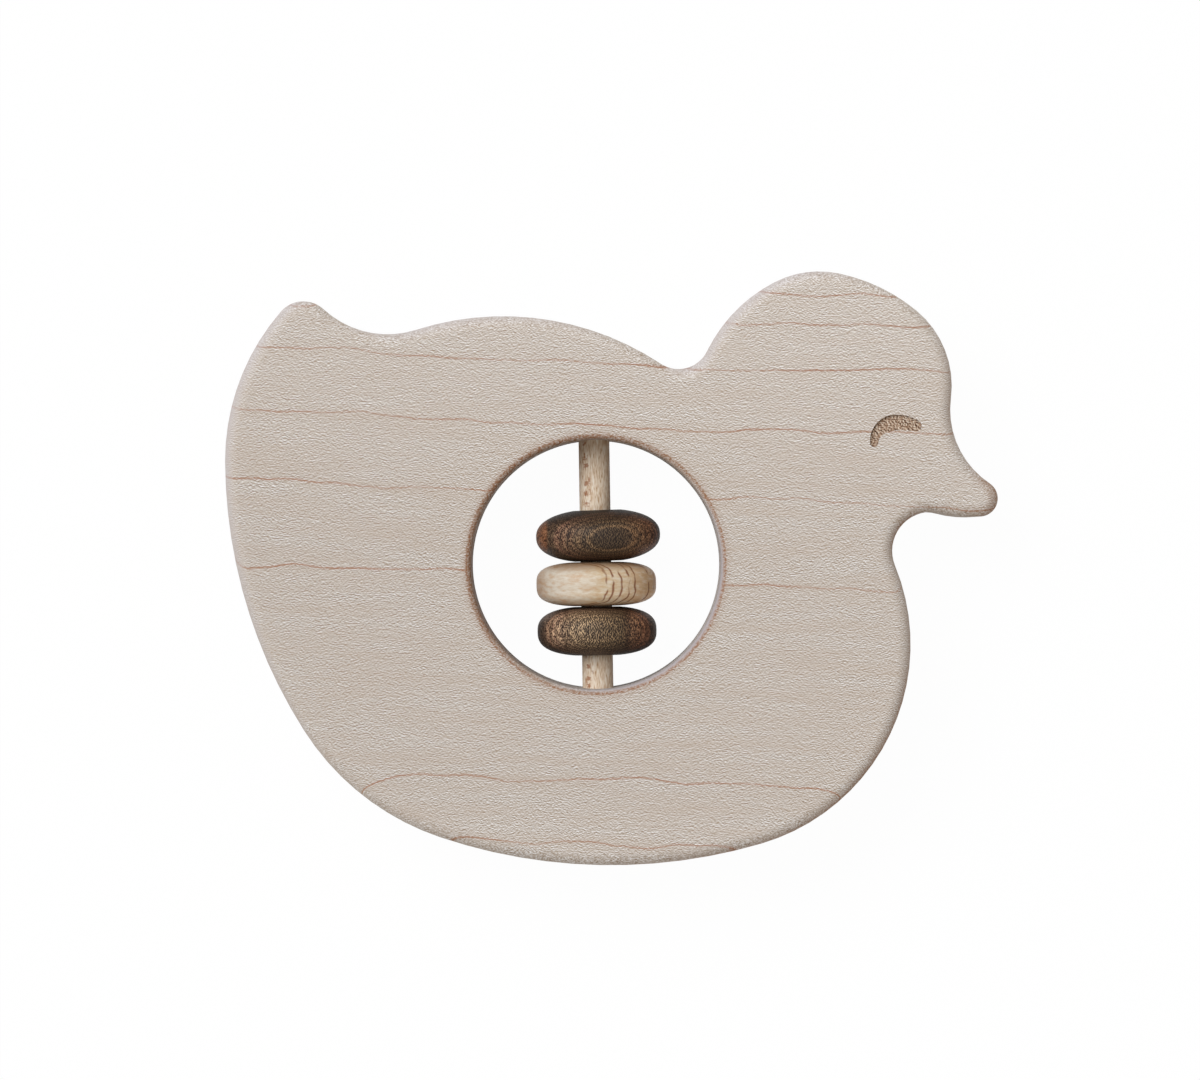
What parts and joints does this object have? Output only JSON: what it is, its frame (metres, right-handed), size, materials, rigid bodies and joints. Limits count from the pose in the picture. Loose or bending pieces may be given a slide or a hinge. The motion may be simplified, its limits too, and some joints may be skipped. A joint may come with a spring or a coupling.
{
  "type": "duck rattle",
  "caption": "Flat wooden duck hand rattle: a duck-shaped board with a round opening for the fingers, crossed by a dowel that carries loose turned rings.",
  "frame": {"origin": "on the flat back face, below the middle of the duck's length and height", "axes": "+X towards the tip of the bill, +Y from the belly to the crown along the dowel, +Z out of the front face that carries the eye"},
  "size_m": [0.119, 0.091, 0.02],
  "materials": {
    "maple_board": "sanded plain-sawn maple with a thin matt wax",
    "beech_dowel": "bare sanded beech",
    "walnut_ring": "turned dark walnut, satin wax",
    "beech_ring": "turned pale beech, satin wax"
  },
  "bodies": {
    "frame": {"duck_body": "maple_board", "dowel": "beech_dowel"},
    "ring_middle": {"ring_middle": "beech_ring"},
    "ring_top": {"ring_top": "walnut_ring"},
    "ring_bottom": {"ring_bottom": "walnut_ring"}
  },
  "joints": [
    {"name": "ring_slide", "type": "slide", "parent": "frame", "child": "ring_middle", "axis": [0, 1, 0], "range_m": [-0.0043, 0.0098]},
    {"name": "top_ring_spin", "type": "hinge", "parent": "ring_middle", "child": "ring_top", "pos_m": [-0.0022, 0.00535, 0.01], "axis": [-0.0175, 0.9998, 0], "continuous": true},
    {"name": "bottom_ring_spin", "type": "hinge", "parent": "ring_middle", "child": "ring_bottom", "pos_m": [-0.0026, -0.00945, 0.01], "axis": [0, 1, 0], "continuous": true}
  ]
}
